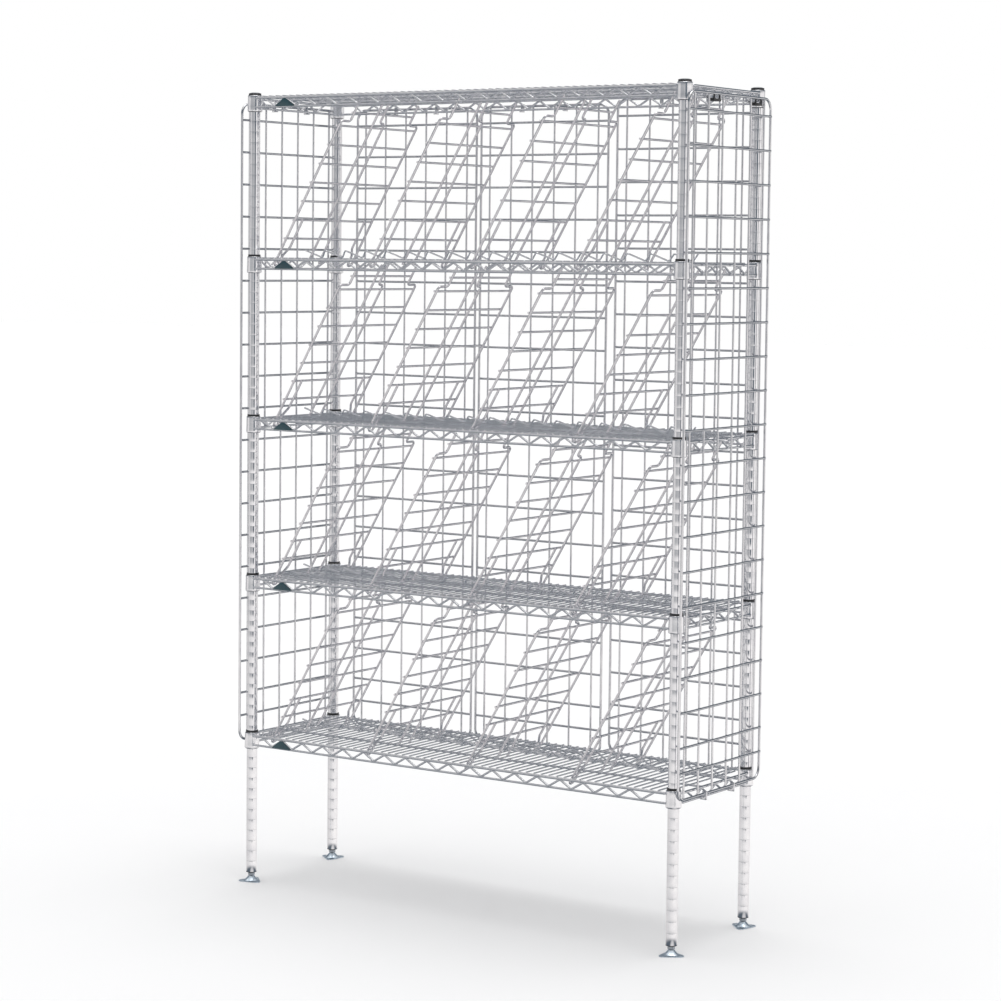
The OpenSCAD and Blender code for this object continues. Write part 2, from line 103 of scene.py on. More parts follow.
class Shape:
    """Vertices and faces that grow part by part, in millimetres."""

    def __init__(self):
        self.v, self.f, self.n = [], [], 0

    def add(self, verts, faces):
        self.v.append(np.asarray(verts, float).reshape(-1, 3))
        self.f += [tuple(int(i) + self.n for i in f) for f in faces]
        self.n += len(self.v[-1])

    def grid(self, rings, wrap=True, ends=True, join=False):
        """Skin over rings of points, all with the same count.

        ends closes the first and last ring, and join links the last ring to the first.
        """
        r = np.asarray(rings, float)
        rows, cols = r.shape[:2]
        ids = np.arange(rows * cols).reshape(rows, cols)
        lower = ids if join else ids[:-1]
        upper = np.roll(ids, -1, 0) if join else ids[1:]
        if wrap:
            quads = np.stack(
                [lower, np.roll(lower, -1, 1), np.roll(upper, -1, 1), upper], -1
            )
        else:
            quads = np.stack(
                [lower[:, :-1], lower[:, 1:], upper[:, 1:], upper[:, :-1]], -1
            )
        faces = quads.reshape(-1, 4).tolist()
        if ends and not join:
            faces += [ids[0][::-1].tolist(), ids[-1].tolist()]
        if not wrap and join:
            faces += [ids[:, 0].tolist(), ids[:, -1][::-1].tolist()]
        self.add(r.reshape(-1, 3), faces)

    def tube(self, path, d, sides=12, closed=False):
        """Round wire of diameter d along a path, its cut ends lightly chamfered."""
        p = np.asarray(path, float)
        radius = d / 2
        radii = np.full(len(p), radius)
        if not closed:
            nose = 0.3 * radius
            first, last = unit(p[1] - p[0]), unit(p[-1] - p[-2])
            p = np.vstack([p[:1], p[:1] + first * nose, p[1:-1], p[-1:] - last * nose, p[-1:]])
            radii = np.full(len(p), radius)
            radii[0] = radii[-1] = 0.72 * radius
        step = np.roll(p, -1, 0) - p
        step /= np.maximum(np.linalg.norm(step, axis=1), 1e-9)[:, None]
        along = step + np.roll(step, 1, 0)
        if not closed:
            along[0], along[-1] = step[0], step[-2]
        along /= np.linalg.norm(along, axis=1)[:, None]
        side = np.cross(along[0], (0.31, 0.22, 0.93) if abs(along[0][2]) < 0.8 else (1, 0, 0))
        turns = np.linspace(0, 2 * math.pi, sides, endpoint=False)
        rings = []
        for q, t, r in zip(p, along, radii):
            side = unit(side - t * float(side @ t))
            up = np.cross(t, side)
            rings.append(q + r * (np.outer(np.cos(turns), side) + np.outer(np.sin(turns), up)))
        self.grid(rings, ends=not closed, join=closed)

    def rod(self, a, b, d, sides=12):
        self.tube([a, b], d, sides)

    def lathe(self, profile, at=(0, 0, 0), sides=48, closed=False, sector=None):
        """Turns a profile of (radius, height) about the vertical axis at a point.

        A closed profile makes a ring, and sector limits the turn to (start, end) in radians.
        """
        a0, a1 = sector or (0, 2 * math.pi)
        turns = np.linspace(a0, a1, sides, endpoint=sector is not None)
        pr = np.asarray(profile, float)
        across, deep = np.cos(turns), np.sin(turns)
        rings = [
            np.stack([at[0] + r * across, at[1] + r * deep, np.full(len(turns), at[2] + z)], -1)
            for r, z in pr
        ]
        self.grid(rings, wrap=sector is None, ends=not closed, join=closed)

    def plate(self, outline, depth, edge, place):
        """A plate with rounded rims from an anticlockwise 2-D outline.

        place maps (u, v, w) to a point, with w through the plate.
        """
        o = np.asarray(outline, float)
        ahead, behind = np.roll(o, -1, 0) - o, o - np.roll(o, 1, 0)
        normal = np.stack([ahead[:, 1] + behind[:, 1], -(ahead[:, 0] + behind[:, 0])], -1)
        normal /= np.linalg.norm(normal, axis=1)[:, None]
        rings = []
        for inset, w in [(1, -0.5), (0.3, -0.5 + 0.3 * edge / depth), (0, -0.5 + edge / depth),
                         (0, 0.5 - edge / depth), (0.3, 0.5 - 0.3 * edge / depth), (1, 0.5)]:
            q = o - normal * inset * edge
            rings.append([place(u, v, w * depth) for u, v in q])
        self.grid(rings)

    def moved(self, matrix):
        """A copy of this shape under a 4 by 4 matrix, in millimetres."""
        made = Shape()
        m = np.array(matrix, float)
        for v in self.v:
            made.v.append(v @ m[:3, :3].T + m[:3, 3])
        made.f, made.n = list(self.f), self.n
        return made


def piece(name, shape, material, body, nodes=(), sharp=35.0):
    """Makes a piece of the object from a shape, parents it to the body it rides on, and hides the CAD nodes
    it replaces.
    """
    mesh = bpy.data.meshes.new(name)
    mesh.from_pydata((np.vstack(shape.v) * MM).tolist(), [], shape.f)
    mesh.validate()
    work = bmesh.new()
    work.from_mesh(mesh)
    bmesh.ops.recalc_face_normals(work, faces=work.faces)
    work.to_mesh(mesh)
    work.free()
    mesh.polygons.foreach_set("use_smooth", [True] * len(mesh.polygons))
    mesh.set_sharp_from_angle(angle=math.radians(sharp))
    mesh.materials.append(material)
    obj = bpy.data.objects.new(name, mesh)
    bpy.context.scene.collection.objects.link(obj)
    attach(obj, body)
    if nodes:
        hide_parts(*nodes)
    return obj


def box_mm(node):
    lo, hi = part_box(node)
    return np.array(lo) / MM, np.array(hi) / MM


# ---------------------------------------------------------------- materials


def nodes_of(name):
    mat = bpy.data.materials.new(name)
    mat.use_nodes = True
    tree = mat.node_tree
    shader = tree.nodes["Principled BSDF"]
    return mat, tree, shader


def noise(tree, scale, detail=4.0, stretch=(1, 1, 1)):
    """Noise from object coordinates; scale is in cells per metre."""
    coords = tree.nodes.new("ShaderNodeTexCoord")
    place = tree.nodes.new("ShaderNodeMapping")
    place.inputs["Scale"].default_value = stretch
    tex = tree.nodes.new("ShaderNodeTexNoise")
    tex.inputs["Scale"].default_value = scale
    tex.inputs["Detail"].default_value = detail
    tree.links.new(coords.outputs["Object"], place.inputs["Vector"])
    tree.links.new(place.outputs["Vector"], tex.inputs["Vector"])
    return tex.outputs["Fac"]


def ranged(tree, source, low, high, from_low=0.3, from_high=0.7):
    node = tree.nodes.new("ShaderNodeMapRange")
    node.inputs["From Min"].default_value = from_low
    node.inputs["From Max"].default_value = from_high
    node.inputs["To Min"].default_value = low
    node.inputs["To Max"].default_value = high
    tree.links.new(source, node.inputs["Value"])
    return node.outputs["Result"]


def mixed(tree, factor, a, b):
    node = tree.nodes.new("ShaderNodeMix")
    node.data_type = "RGBA"
    node.inputs["A"].default_value = (*a, 1)
    node.inputs["B"].default_value = (*b, 1)
    tree.links.new(factor, node.inputs["Factor"])
    return node.outputs["Result"]


def bumped(tree, shader, source, depth_mm):
    node = tree.nodes.new("ShaderNodeBump")
    node.inputs["Strength"].default_value = 1.0
    node.inputs["Distance"].default_value = depth_mm * MM
    tree.links.new(source, node.inputs["Height"])
    tree.links.new(node.outputs["Normal"], shader.inputs["Normal"])


def metal(name, light, dark, rough, patch=35.0, grain=700.0, stretch=(1, 1, 1), depth=0.0012):
    """Plated metal: cloudy at patch cells per metre, with fine grain in its gloss and a faint ripple."""
    mat, tree, shader = nodes_of(name)
    shader.inputs["Metallic"].default_value = 1.0
    cloud = ranged(tree, noise(tree, patch, 3.0), 0, 1)
    tree.links.new(mixed(tree, cloud, light, dark), shader.inputs["Base Color"])
    fine = noise(tree, grain, 5.0, stretch)
    tree.links.new(ranged(tree, fine, *rough), shader.inputs["Roughness"])
    bumped(tree, shader, fine, depth)
    return mat


def plastic(name, light, dark, rough, grain=900.0, depth=0.02):
    """Moulded plastic: faint mottling and a fine moulded grain."""
    mat, tree, shader = nodes_of(name)
    cloud = ranged(tree, noise(tree, 60.0, 3.0), 0, 1)
    tree.links.new(mixed(tree, cloud, light, dark), shader.inputs["Base Color"])
    fine = noise(tree, grain, 4.0)
    tree.links.new(ranged(tree, fine, *rough), shader.inputs["Roughness"])
    bumped(tree, shader, fine, depth)
    return mat


CHROME = {
    "post_chrome": metal("post_chrome_mat", (0.80, 0.81, 0.83), (0.70, 0.71, 0.74), (0.07, 0.13),
                         stretch=(1, 1, 0.04), grain=500.0),
    # the shelf wires' chrome copy is painted lighter than the posts' copy, painted light standing in for
    # their brighter reflections
    "shelf_chrome": metal("shelf_chrome_painted_light_mat", (0.86, 0.87, 0.89), (0.76, 0.77, 0.80), (0.12, 0.24)),
    # the dividers' chrome copy is painted lighter, and its pinkish tint is a painted reflection
    "divider_chrome": metal("divider_chrome_painted_light_mat", (0.86, 0.85, 0.87), (0.76, 0.75, 0.78), (0.10, 0.22)),
    # the panels' chrome copy, which the panel hooks share, is painted darker than the rest as painted shade
    # for their dark reflections
    "panel_chrome": metal("panel_chrome_painted_shade_mat", (0.72, 0.73, 0.75), (0.62, 0.63, 0.66), (0.10, 0.22)),
}
ZINC = metal("zinc_mat", (0.74, 0.84, 0.92), (0.56, 0.66, 0.75), (0.24, 0.40), patch=140.0, depth=0.02)
BOLT = metal("bolt_mat", (0.36, 0.40, 0.44), (0.24, 0.27, 0.30), (0.25, 0.42), patch=200.0, depth=0.015)
CAP = plastic("cap_mat", (0.50, 0.51, 0.53), (0.44, 0.45, 0.47), (0.22, 0.34))
INSERT = plastic("insert_mat", (0.035, 0.036, 0.040), (0.022, 0.023, 0.026), (0.42, 0.60))
SLEEVE = plastic("sleeve_mat", (0.024, 0.026, 0.030), (0.014, 0.016, 0.019), (0.30, 0.46))
CLIP = plastic("clip_mat", (0.030, 0.031, 0.034), (0.018, 0.019, 0.021), (0.35, 0.52))
TAG = plastic("tag_mat", (0.024, 0.066, 0.082), (0.016, 0.050, 0.064), (0.24, 0.36))


# ---------------------------------------------------------------- posts, caps and inserts

LEVELS = {i: box_mm(f"sleeves_shelf_{i}")[1][2] for i in SHELVES}
POST = {}
for corner in CORNERS:
    low, high = box_mm("post_" + corner)
    POST[corner] = ((low[0] + high[0]) / 2, (low[1] + high[1]) / 2)
POST_R = (high[0] - low[0]) / 2
POST_BOTTOM, POST_TOP = low[2], high[2]
POST_WALL = 1.5
POST_BORE_R = POST_R - POST_WALL
HALF_X, HALF_Y = POST["rear_right"]
GROOVE_PITCH = 25.4
GROOVE_DEPTH = 0.07
GROOVE_HALF = 0.32
RIB_DROP = 14.0  # a sleeve's rib sits in a groove this far below the sleeve's top

# one groove's section, (depth, height) as shares of its full depth and half width
groove = [(0, -1.25), (-0.12, -1.0), (-0.55, -0.6), (-0.93, -0.25),
          (-1, 0), (-0.93, 0.25), (-0.55, 0.6), (-0.12, 1.0), (0, 1.25)]
outer = [(POST_R - 0.5, POST_BOTTOM), (POST_R - 0.15, POST_BOTTOM + 0.15), (POST_R, POST_BOTTOM + 0.5)]
z = (LEVELS[5] - RIB_DROP) % GROOVE_PITCH
while z < POST_TOP - 3:
    if z > POST_BOTTOM + 4:
        outer += [(POST_R + a * GROOVE_DEPTH, z + b * GROOVE_HALF) for a, b in groove]
    z += GROOVE_PITCH
outer += [(POST_R, POST_TOP - 0.5), (POST_R - 0.15, POST_TOP - 0.15), (POST_R - 0.5, POST_TOP)]
outer += [(POST_BORE_R, POST_TOP), (POST_BORE_R, POST_BOTTOM)]
for corner, (x, y) in POST.items():
    s = Shape()
    s.lathe(outer, (x, y, 0), sides=40, closed=True)
    piece("post_" + corner + "_tube", s, CHROME["post_chrome"], "rack", ["post_" + corner])

cap_top = box_mm("post_caps")[1][2]
rise = cap_top - POST_TOP
s = Shape()
dome = [(0.02 * POST_R, 1.0), (0.25 * POST_R, 0.985), (0.5 * POST_R, 0.90), (0.72 * POST_R, 0.74),
        (0.88 * POST_R, 0.52), (0.965 * POST_R, 0.30), (POST_R, 0.06), (POST_R - 0.15, 0.0)]
for x, y in POST.values():
    s.lathe([(POST_BORE_R - 0.5, POST_TOP - 12), (POST_BORE_R - 0.05, POST_TOP - 11.3),
             (POST_BORE_R - 0.05, POST_TOP + 0.02)]
            + [(r, POST_TOP + 0.02 + k * (rise - 0.02)) for r, k in reversed(dome)], (x, y, 0))
piece("post_caps_domed", s, CAP, "rack", ["post_caps"])

low, high = box_mm("post_inserts")
s = Shape()
for x, y in POST.values():
    s.lathe([(4.95, low[2]), (POST_R - 0.8, low[2]), (POST_R - 0.2, low[2] + 0.2), (POST_R, low[2] + 0.7),
             (POST_R, POST_BOTTOM - 0.05), (POST_BORE_R - 0.05, POST_BOTTOM - 0.05),
             (POST_BORE_R - 0.05, high[2] - 1), (POST_BORE_R - 0.8, high[2]), (4.95, high[2])],
            (x, y, 0), closed=True)
piece("post_inserts_moulded", s, INSERT, "rack", ["post_inserts"])


# ---------------------------------------------------------------- feet

PITCH = 1.5875
HEX_R = 7.15
CHAMFER_R = 6.75
BALL_R, BALL_Z = 4.4, 7.2
SOCKET_R, SOCKET_THROAT_Z = 4.7, 10.6
HEX_LOW, HEX_HIGH = 14.2, 20.8
THREAD_R, THREAD_ROOT, THREAD_TOP = 4.7, 3.95, 58.0


def leveller(at):
    s = Shape()
    # ball and neck
    arc = [(BALL_R * math.cos(math.radians(a)), BALL_Z + BALL_R * math.sin(math.radians(a)))
           for a in range(-88, 46, 8)]
    s.lathe(arc + [(3.0, BALL_Z + 3.4), (3.0, HEX_LOW - 0.6), (3.5, HEX_LOW - 0.1), (3.5, HEX_LOW + 0.3)],
            at, sides=32)
    # hexagon with its corners chamfered at both faces
    turns = np.linspace(0, 2 * math.pi, 96, endpoint=False)
    hex_r = HEX_R / np.cos((turns + math.pi / 6) % (math.pi / 3) - math.pi / 6)
    cut = np.maximum(hex_r - CHAMFER_R, 0) * math.tan(math.radians(30))
    rings = []
    for r, z in [(np.full(96, 4.0), np.full(96, HEX_LOW)), (np.full(96, CHAMFER_R), np.full(96, HEX_LOW)),
                 (hex_r, HEX_LOW + cut), (hex_r, HEX_HIGH - cut),
                 (np.full(96, CHAMFER_R), np.full(96, HEX_HIGH)), (np.full(96, 4.0), np.full(96, HEX_HIGH))]:
        rings.append(np.stack([at[0] + r * np.cos(turns), at[1] + r * np.sin(turns), z + 0 * r], -1))
    s.grid(rings)
    # right-hand thread
    turns = np.linspace(0, 2 * math.pi, 28, endpoint=False)
    rings = []
    for z in np.arange(HEX_HIGH - 0.2, THREAD_TOP, PITCH / 8):
        phase = (z / PITCH - turns / (2 * math.pi)) % 1
        depth = np.clip(1.25 * (1 - np.abs(2 * phase - 1)) - 0.1, 0, 1)
        fade = min(1.0, (THREAD_TOP - z) / 1.5)
        r = THREAD_ROOT + (THREAD_R - THREAD_ROOT) * depth * fade
        rings.append(np.stack([at[0] + r * np.cos(turns), at[1] + r * np.sin(turns), np.full(28, z)], -1))
    s.grid(rings)
    return s


def foot_plate(at, outward):
    """A rounded triangle with a rolled rim that flares up to a hub around the ball, closed below."""
    reach, corner_r, hub_r, hub_top_r, hub_h, plate_t = 30.5, 9.0, 19.0, 7.0, 13.0, 2.2
    outline = []
    for k in range(3):
        c = math.radians(120 * k)
        start = math.radians(120 * k - 60)
        for a in np.linspace(start, start + math.radians(120), 14):
            outline.append(((reach - corner_r) * math.cos(c) + corner_r * math.cos(a),
                            (reach - corner_r) * math.sin(c) + corner_r * math.sin(a)))
        after = math.radians(120 * (k + 1))
        a_end, b_start = np.array(outline[-1]), np.array([
            (reach - corner_r) * math.cos(after) + corner_r * math.cos(after - math.radians(60)),
            (reach - corner_r) * math.sin(after) + corner_r * math.sin(after - math.radians(60))])
        for t in np.linspace(0, 1, 9)[1:-1]:
            outline.append(tuple(a_end + (b_start - a_end) * t))
    o = np.array(outline)
    rim = np.hypot(o[:, 0], o[:, 1])
    turns = np.arctan2(o[:, 1], o[:, 0]) + math.radians(outward)
    unit_xy = np.stack([np.cos(turns), np.sin(turns)], -1)
    even = np.ones_like(rim)
    # the flare starts at the hub's radius, or just inside the rim where the triangle is narrower than that
    foot_of_flare = np.minimum(hub_r, rim - 2.2)
    rows = [(0.3 * even, 0.0), (0.5 * rim, 0.0), (rim - 0.9, 0.0), (rim - 0.25, 0.25), (rim, 0.8),
            (rim, 1.5), (rim - 0.3, 2.05), (rim - 0.9, 2.3), (rim - 1.6, 2.25)]
    for share in (0.66, 0.33):
        rows.append((foot_of_flare + (rim - 1.6 - foot_of_flare) * share, 2.2))
    for t in np.linspace(0, 1, 12):
        rows.append((foot_of_flare + (hub_top_r - foot_of_flare) * t,
                     plate_t + (hub_h - plate_t) * t ** 1.4))
    rows += [((hub_top_r - 0.6) * even, hub_h), (3.7 * even, hub_h), (3.3 * even, hub_h - 0.4),
             (3.3 * even, SOCKET_THROAT_Z)]
    for a in range(40, -91, -13):
        t = math.radians(a)
        rows.append((max(SOCKET_R * math.cos(t), 0.2) * even, BALL_Z + SOCKET_R * math.sin(t)))
    rings = [np.hstack([np.array(at[:2]) + unit_xy * r[:, None], np.full((len(r), 1), z)]) for r, z in rows]
    s = Shape()
    s.grid(rings)
    return s


FOOT_HEADINGS = {"front_left": 225, "front_right": 4, "rear_left": 54, "rear_right": 45}
for corner, heading in FOOT_HEADINGS.items():
    x, y = POST[corner]
    piece("leveller_" + corner + "_bolt", leveller((x, y, 0)), BOLT, "bolt_" + corner,
          ["leveller_" + corner])
    piece("foot_plate_" + corner + "_pressing", foot_plate((x, y), heading), ZINC,
          "foot_" + corner, ["foot_plate_" + corner])


# ---------------------------------------------------------------- shelves

RAIL_OUT = 12.5
EDGE_X, EDGE_Y = HALF_X + RAIL_OUT, HALF_Y + RAIL_OUT
RAIL_START = 13.0
TOP_RAIL_Z, LOW_RAIL_Z = -12.0, -33.5
TOP_RAIL_D, LOW_RAIL_D = 6.0, 5.0
MAT_PITCH, MAT_D, MAT_Z = 20.3, 3.4, -8.2
SNAKE_HALF = 1.5 * MAT_PITCH
SNAKE_D = 4.9
SNAKE_BEND = 5.5
END_BAR_Y = 132.0  # the outermost cross wires stop short of the collars
SUPPORT_Y, SUPPORT_Z, SUPPORT_D = 57.0, -11.5, 5.0
WAVE_FOOT_Y, WAVE_HEAD, WAVE_D = 11.0, (-18.0, 12.0), 4.0
# sections as (radius, height)
COLLAR = [(15.93, -43), (17.0, -43), (17.55, -42.7), (17.8, -41.8), (17.85, -38), (17.6, -33),
          (17.2, -14), (17.2, -7.6), (17.0, -6.0), (16.5, -5.25), (15.9, -5), (15.0, -5)]


def zigzag(half, low, high, place):
    """Bent wire between two heights, its peaks at whole numbers of periods; place maps (u, v) to a point."""
    steps = int(half // SNAKE_HALF)
    points = [place(k * SNAKE_HALF, high if k % 2 == 0 else low) for k in range(-steps, steps + 1)]
    return bend(points, SNAKE_BEND, 18)


def shelf(level, with_wave):
    s = Shape()
    mats = int((HALF_X - 17.8 - 4) / MAT_PITCH + 0.5)
    for sign in (-1, 1):
        y, x = sign * EDGE_Y, sign * EDGE_X
        for z, d in ((TOP_RAIL_Z, TOP_RAIL_D), (LOW_RAIL_Z, LOW_RAIL_D)):
            s.rod((-HALF_X + RAIL_START, y, z), (HALF_X - RAIL_START, y, z), d, 16)
            s.rod((x, -HALF_Y + RAIL_START, z), (x, HALF_Y - RAIL_START, z), d, 16)
        low, high = LOW_RAIL_Z + 1.4, TOP_RAIL_Z - 1.6
        s.tube(zigzag(HALF_X - RAIL_START, low, high, lambda u, v: (u, y, v)), SNAKE_D)
        s.tube(zigzag(HALF_Y - RAIL_START, low, high, lambda u, v: (x, u, v)), SNAKE_D)
        end_x = sign * (mats + 0.5) * MAT_PITCH
        s.rod((end_x, -END_BAR_Y, MAT_Z), (end_x, END_BAR_Y, MAT_Z), MAT_D)
        s.rod((-EDGE_X, sign * SUPPORT_Y, SUPPORT_Z), (EDGE_X, sign * SUPPORT_Y, SUPPORT_Z), SUPPORT_D, 14)
    for i in range(-mats, mats):
        x = (i + 0.5) * MAT_PITCH
        s.rod((x, -EDGE_Y - 0.8, MAT_Z), (x, EDGE_Y + 0.8, MAT_Z), MAT_D)
    if with_wave:
        foot = np.array([WAVE_FOOT_Y, MAT_Z + MAT_D / 2 + WAVE_D / 2 - 0.9])
        head = np.array(WAVE_HEAD)
        s.tube(zigzag(mats * MAT_PITCH, 0.0, 1.0,
                      lambda u, v: (u, *(foot + (head - foot) * v))), WAVE_D)
    for x, y in POST.values():
        s.lathe(COLLAR, (x, y, 0), sides=56, closed=True)
    return s.moved(Matrix.Translation((0, 0, level)))


for i in SHELVES:
    piece(f"shelf_{i}_wires", shelf(LEVELS[i], i > 1), CHROME["shelf_chrome"], "rack",
          [f"shelf_{i}"])

SLEEVE_PROFILE = [(12.72, -43.8), (15.6, -43.8), (15.9, -43.5), (14.75, -0.35), (14.45, 0), (13.0, 0),
                  (12.72, -0.3), (12.72, -13.3), (12.15, -13.7), (12.15, -14.3), (12.72, -14.7)]
for i in SHELVES:
    s = Shape()
    for x, y in POST.values():
        for turn in (-math.pi / 2, math.pi / 2):
            gap = 0.3 / 15
            s.lathe(SLEEVE_PROFILE, (x, y, LEVELS[i]), sides=28, closed=True,
                    sector=(turn + gap, turn + math.pi - gap))
    piece(f"sleeves_shelf_{i}_halves", s, SLEEVE, "rack", [f"sleeves_shelf_{i}"])


# ---------------------------------------------------------------- dividers

LEAN = math.radians(30.5)
RUNG_PITCH, RUNG_COUNT = 50.8, 7
FIRST_RUNG = 45 / math.cos(LEAN)
TOP_GAP, JOG_ABOVE = 36.5, 15
TOP_RUNG = FIRST_RUNG + (RUNG_COUNT - 1) * RUNG_PITCH + TOP_GAP
JOG = TOP_RUNG - TOP_GAP + JOG_ABOVE
WIRE_END = 368 / math.cos(LEAN)
DIVIDER_D, RUNG_D = 5.6, 5.0
DIVIDER_FOOT = -20
RUNG_HALF, TOP_RUNG_HALF = 153.5, 118.5
# along X, from the lowest corner of the CAD divider's square bars to its plane at the mat's level
half_bar = DIVIDER_D * math.sqrt(math.pi) / 4
DIVIDER_REACH = (half_bar - DIVIDER_FOOT) * math.sin(LEAN) + half_bar * math.cos(LEAN)


def divider():
    """A divider in its own plane: X across the rack front to back, Y up the slope."""
    s = Shape()
    for side in (-1, 1):
        outer_wire = [(115, WIRE_END), (115, JOG), (150, JOG), (150, DIVIDER_FOOT), (134, DIVIDER_FOOT),
                      (134, 8), (121, 30), (121, FIRST_RUNG + RUNG_PITCH + 5)]
        s.tube(bend([(side * a, b, 0) for a, b in outer_wire], 8, 15), DIVIDER_D, 14)
    for wire in ([(-25, -14), (-25, WIRE_END)],
                 [(18, -14), (18, JOG), (-1, JOG), (-1, WIRE_END)]):
        s.tube(bend([(a, b, 0) for a, b in wire], 8, 15), DIVIDER_D, 14)
    shift = -(DIVIDER_D + RUNG_D) / 2 + 1.1
    for k in range(RUNG_COUNT):
        v = FIRST_RUNG + k * RUNG_PITCH
        s.rod((-RUNG_HALF, v, shift), (RUNG_HALF, v, shift), RUNG_D, 14)
    s.rod((-TOP_RUNG_HALF, TOP_RUNG, shift), (TOP_RUNG_HALF, TOP_RUNG, shift), RUNG_D, 14)
    return s


flat_divider = divider()
for tier in TIERS:
    for bay in BAYS:
        node = f"divider_{tier}_{bay}"
        base = box_mm(node)[0][0] + DIVIDER_REACH
        # plane X goes to the rack's Y, plane Y up the slope, plane Z across it
        turn = Matrix(((0, math.sin(LEAN), math.cos(LEAN), base), (1, 0, 0, 0),
                       (0, math.cos(LEAN), -math.sin(LEAN), LEVELS[tier + 1] + MAT_Z), (0, 0, 0, 1)))
        piece(node + "_wires", flat_divider.moved(turn), CHROME["divider_chrome"], "rack",
              [node])


# ---------------------------------------------------------------- side and back panels

PANEL_D, UPRIGHT_D, ROW_D = 6.0, 4.8, 5.2
PANEL_R = 25.0
WIRE_SHIFT = 1.6
UPRIGHT_PLACES = (-152.5, -91.5, -30.5, 30.5, 91.5, 152.5)
ROW_PITCH, ROW_COUNT, LOWEST_ROW = 76.2, 19, 59


def panel(width, height):
    """A panel standing on Z = 0 in the XZ plane, its outer side facing +Y."""
    s = Shape()
    w = width / 2
    loop = bend([(-w, 0, 0), (w, 0, 0), (w, 0, height), (-w, 0, height)], PANEL_R, 10, closed=True)
    s.tube(loop, PANEL_D, 14, closed=True)
    for x in UPRIGHT_PLACES:
        s.rod((x, -WIRE_SHIFT, -0.6), (x, -WIRE_SHIFT, height + 0.6), UPRIGHT_D)
    rows = [height - 38.1 - k * ROW_PITCH for k in range(ROW_COUNT)] + [LOWEST_ROW]
    for z in rows:
        s.rod((-w - 0.8, WIRE_SHIFT, z), (w + 0.8, WIRE_SHIFT, z), ROW_D)
    return s


PANELS = {"side_panel_left": 90, "side_panel_right": -90,
          "back_panel_left": 0, "back_panel_middle": 0, "back_panel_right": 0}
for node, turn in PANELS.items():
    low, high = box_mm(node)
    size = high - low
    width = (size[1] if turn else size[0]) - PANEL_D
    shape = panel(width, size[2] - PANEL_D)
    # the rows stand out further than the frame wire, so the outer face lies that much inside the box
    proud = WIRE_SHIFT + ROW_D * math.sqrt(math.pi) / 4 - PANEL_D / 2
    mid = (low + high) / 2
    sign = -1 if node.endswith("left") else 1
    at = (sign * (max(abs(low[0]), abs(high[0])) - proud - PANEL_D / 2), 0, low[2] + PANEL_D / 2)
    if not turn:
        at = (mid[0], high[1] - proud - PANEL_D / 2, low[2] + PANEL_D / 2)
    place = Matrix.Translation(at) @ Matrix.Rotation(math.radians(turn), 4, "Z")
    piece(node + "_wires", shape.moved(place), CHROME["panel_chrome"], "rack", [node])


# ---------------------------------------------------------------- clips, hooks and tags

# Side views, (out, up) from the shelf's lower edge wire
CLIP_LOW, CLIP_HIGH, CLIP_BACK = -7.5, -1.8, -3.5
PANEL_REACH, PEG_AT, PEG_D, PEG_TOP = 10.0, 12.0, 4.0, 6.6
CLIP_LEN, HOOK_LEN, HOOK_SPREAD = 32.0, 4.0, 61.0
HOOK_NEAR, HOOK_FAR = 3.4, PANEL_REACH + PANEL_D / 2 + 1
CLIP_PLACES = (-61.0, 122.0)
CLIP_FAR = PANEL_REACH + PEG_D / 2
HOOK_TOP = 13.9


def rounded(points, radius):
    return bend([(a, b, 0) for a, b in points], radius, 20, closed=True)[:, :2]


def clip_bar():
    groove_r = LOW_RAIL_D / 2 + 0.1
    side = math.asin(-CLIP_HIGH / groove_r)
    cradle = [(groove_r * math.cos(a), -groove_r * math.sin(a))
              for a in np.linspace(side, math.pi - side, 9)]
    outer = [(CLIP_BACK, CLIP_HIGH), (CLIP_BACK, CLIP_LOW), (CLIP_FAR, CLIP_LOW), (CLIP_FAR, CLIP_HIGH)]
    corners = [(-2.6, CLIP_HIGH)] + outer + [(2.6, CLIP_HIGH)]
    return bend([(a, b, 0) for a, b in corners], 1.5, 20)[:, :2].tolist() + cradle


def hook(lift):
    return rounded([(-LOW_RAIL_D / 2, -5.5), (HOOK_FAR, -5.5), (HOOK_FAR, HOOK_TOP + lift),
                    (HOOK_NEAR, HOOK_TOP + lift), (HOOK_NEAR, -3.0), (-LOW_RAIL_D / 2, -3.0)], 1.0)


def beside_side(side, y):
    return lambda out, along: (side * (EDGE_X + out), y + side * along)


def beside_back(x):
    return lambda out, along: (x - along, EDGE_Y + out)


clips, hooks = Shape(), Shape()
top, bottom = LEVELS[1] + LOW_RAIL_Z, LEVELS[5] + LOW_RAIL_Z
for y in CLIP_PLACES:
    seat = beside_side(1, y)
    clips.plate(clip_bar(), CLIP_LEN, 0.7, lambda u, v, w: (*seat(u, w), top + v))
    for along in (-PEG_AT, PEG_AT):
        clips.rod((*seat(PANEL_REACH, along), top + CLIP_LOW + 1), (*seat(PANEL_REACH, along), top + PEG_TOP),
                  PEG_D, 20)
seats = []
for spread in (-HOOK_SPREAD, HOOK_SPREAD):
    seats += [(beside_side(side, spread), z, 0) for side, z in ((-1, top), (-1, bottom), (1, bottom))]
    for node in ("back_panel_left", "back_panel_middle", "back_panel_right"):
        low, high = box_mm(node)
        lift = low[2] - box_mm("side_panel_left")[0][2]
        seats += [(beside_back((low[0] + high[0]) / 2 + spread), z, lift) for z in (top, bottom)]
for seat, z, lift in seats:
    hooks.plate(hook(lift), HOOK_LEN, 0.4, lambda u, v, w: (*seat(u, w), z + v))
piece("panel_clips_moulded", clips, CLIP, "rack", ["panel_clips"])
piece("panel_hooks_bent", hooks, CHROME["panel_chrome"], "rack", ["panel_hooks"])

